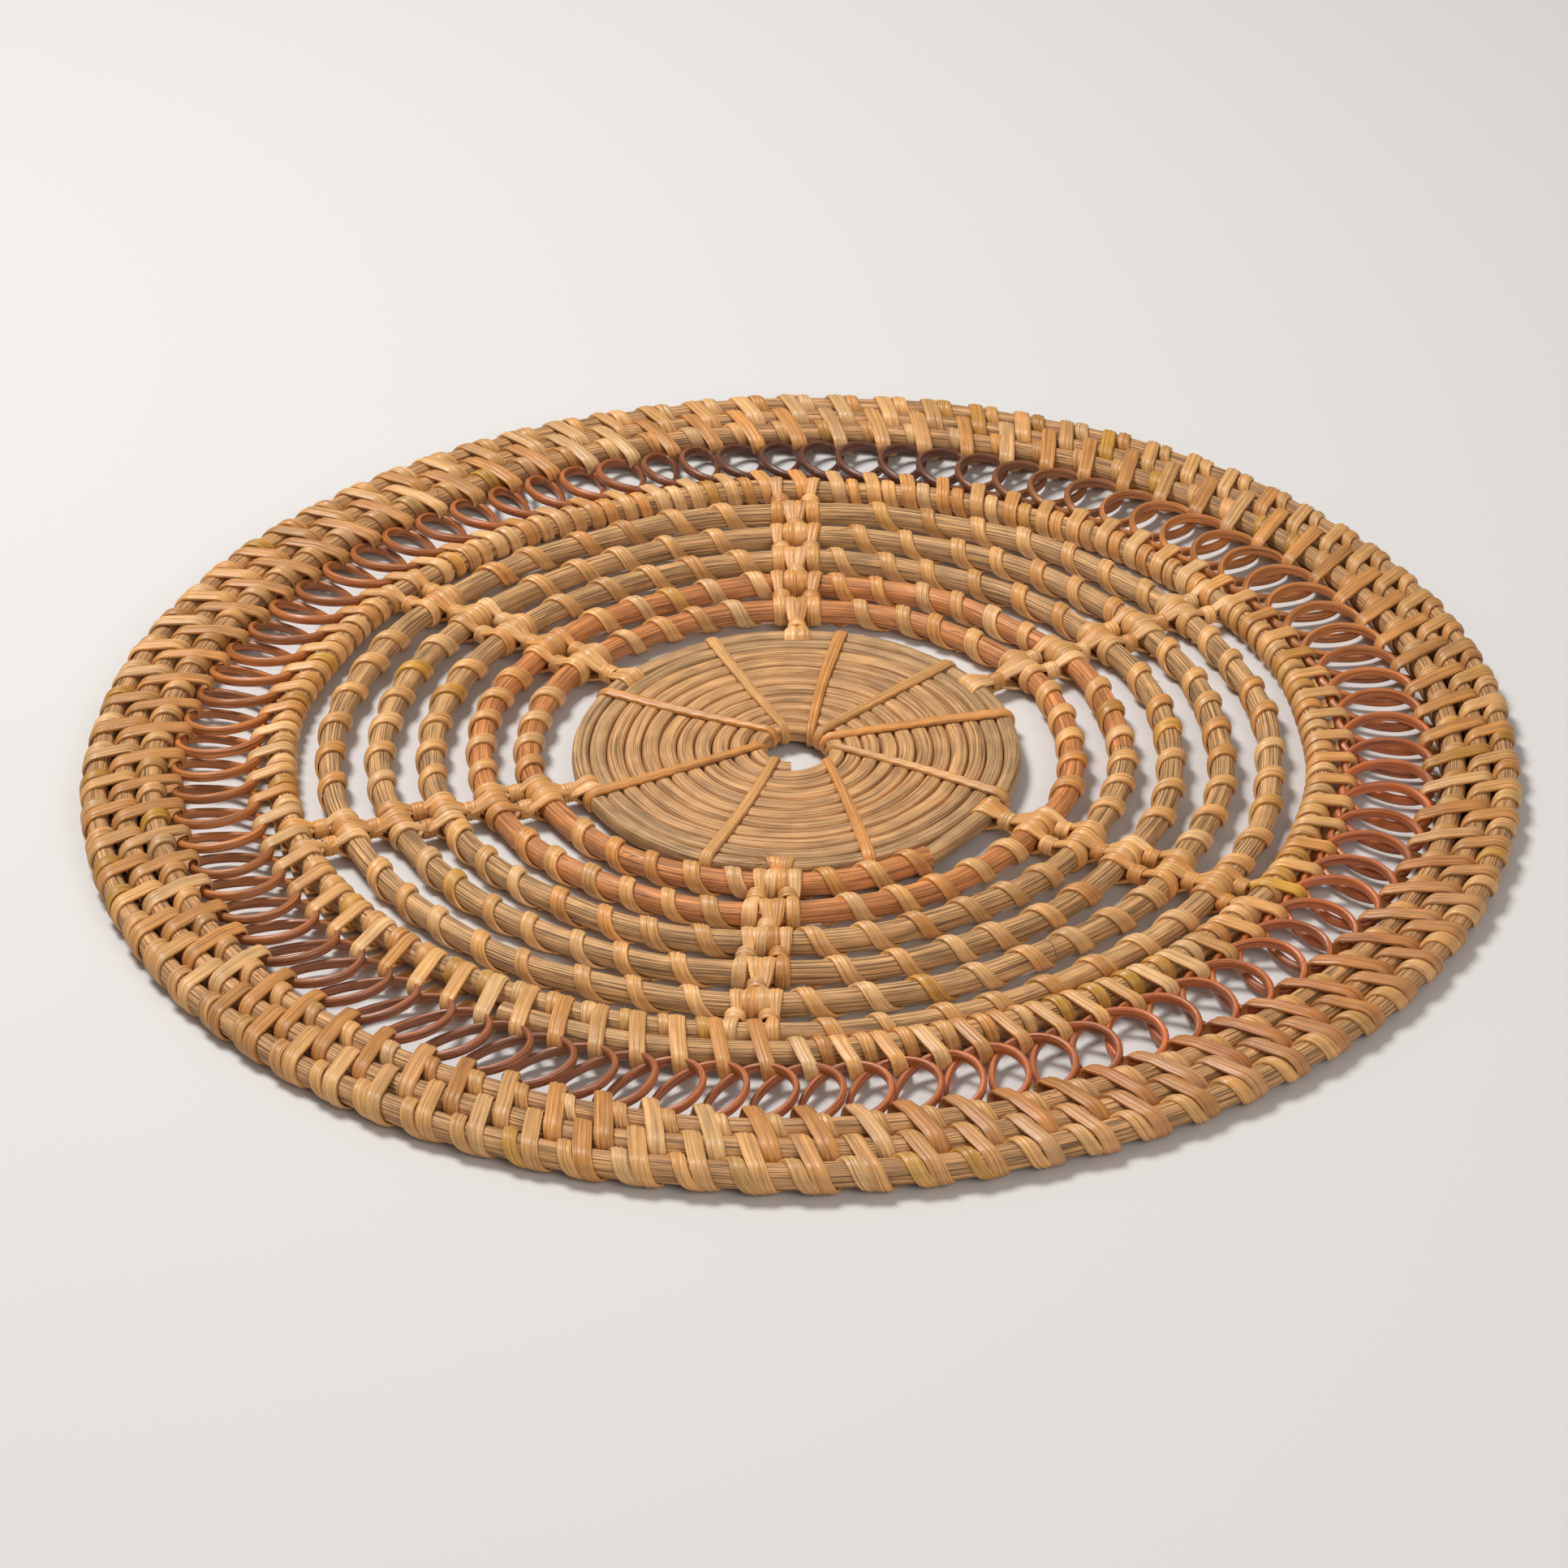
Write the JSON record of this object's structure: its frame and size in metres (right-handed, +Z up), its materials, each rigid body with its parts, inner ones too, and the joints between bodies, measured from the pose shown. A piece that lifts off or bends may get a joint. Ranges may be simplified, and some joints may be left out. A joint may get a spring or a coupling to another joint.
{
  "type": "rattan openwork tray",
  "caption": "Flat round openwork tray of coiled and whipped rattan: a tight centre coil, a tied spiral of rods, a ring of overlapping loops and a lashed border.",
  "frame": {"origin": "middle of the tray, on the surface it lies on", "axes": "+Z up, out of the tray's upper face; X and Y in the tray's plane, with -Y towards the side seen nearest"},
  "size_m": [0.3506, 0.3506, 0.0078],
  "materials": {
    "coil_core": "matte peeled rattan core, fine lengthwise grain",
    "binding_strip": "satin split rattan with lengthwise ridges",
    "whipping_strip": "glossy split rattan with lengthwise ridges",
    "rod_orange": "matte orange-brown rattan rod, lengthwise fibres",
    "rod_tan": "matte tan rattan rod with dark fibre lines",
    "rod_border": "matte tan rattan rod with dark fibre lines",
    "loop_rattan": "glossy red-brown rattan cane",
    "border_strip": "satin split rattan with lengthwise ridges"
  },
  "bodies": {
    "root": {"centre_coil": "coil_core", "spoke_1": "binding_strip", "spoke_2": "binding_strip", "spoke_3": "binding_strip", "spoke_4": "binding_strip", "spoke_5": "binding_strip", "spoke_6": "binding_strip", "spoke_7": "binding_strip", "spoke_8": "binding_strip", "spoke_9": "binding_strip", "rod_orange": "rod_orange", "rod_tan_inner": "rod_tan", "rod_tan_outer": "rod_tan", "whipping_turn_1": "whipping_strip", "whipping_turn_2": "whipping_strip", "whipping_turn_3": "whipping_strip", "whipping_turn_4": "whipping_strip", "whipping_turn_5": "whipping_strip", "ring_wraps_long": "whipping_strip", "ring_wraps_short": "whipping_strip", "tie_straps_1": "whipping_strip", "tie_straps_2": "whipping_strip", "tie_straps_3": "whipping_strip", "tie_straps_4": "whipping_strip", "tie_straps_5": "whipping_strip", "tie_straps_6": "whipping_strip", "tie_knots_1": "whipping_strip", "tie_knots_2": "whipping_strip", "tie_knots_3": "whipping_strip", "tie_knots_4": "whipping_strip", "tie_knots_5": "whipping_strip", "tie_knots_6": "whipping_strip", "loop_coil": "loop_rattan", "border_rod_inner": "rod_border", "border_rod_middle": "rod_border", "border_rod_outer": "rod_border", "lashing_outer_long": "border_strip", "lashing_inner_long": "border_strip", "lashing_inner_short": "border_strip", "lashing_outer_short": "border_strip"}
  },
  "joints": []
}
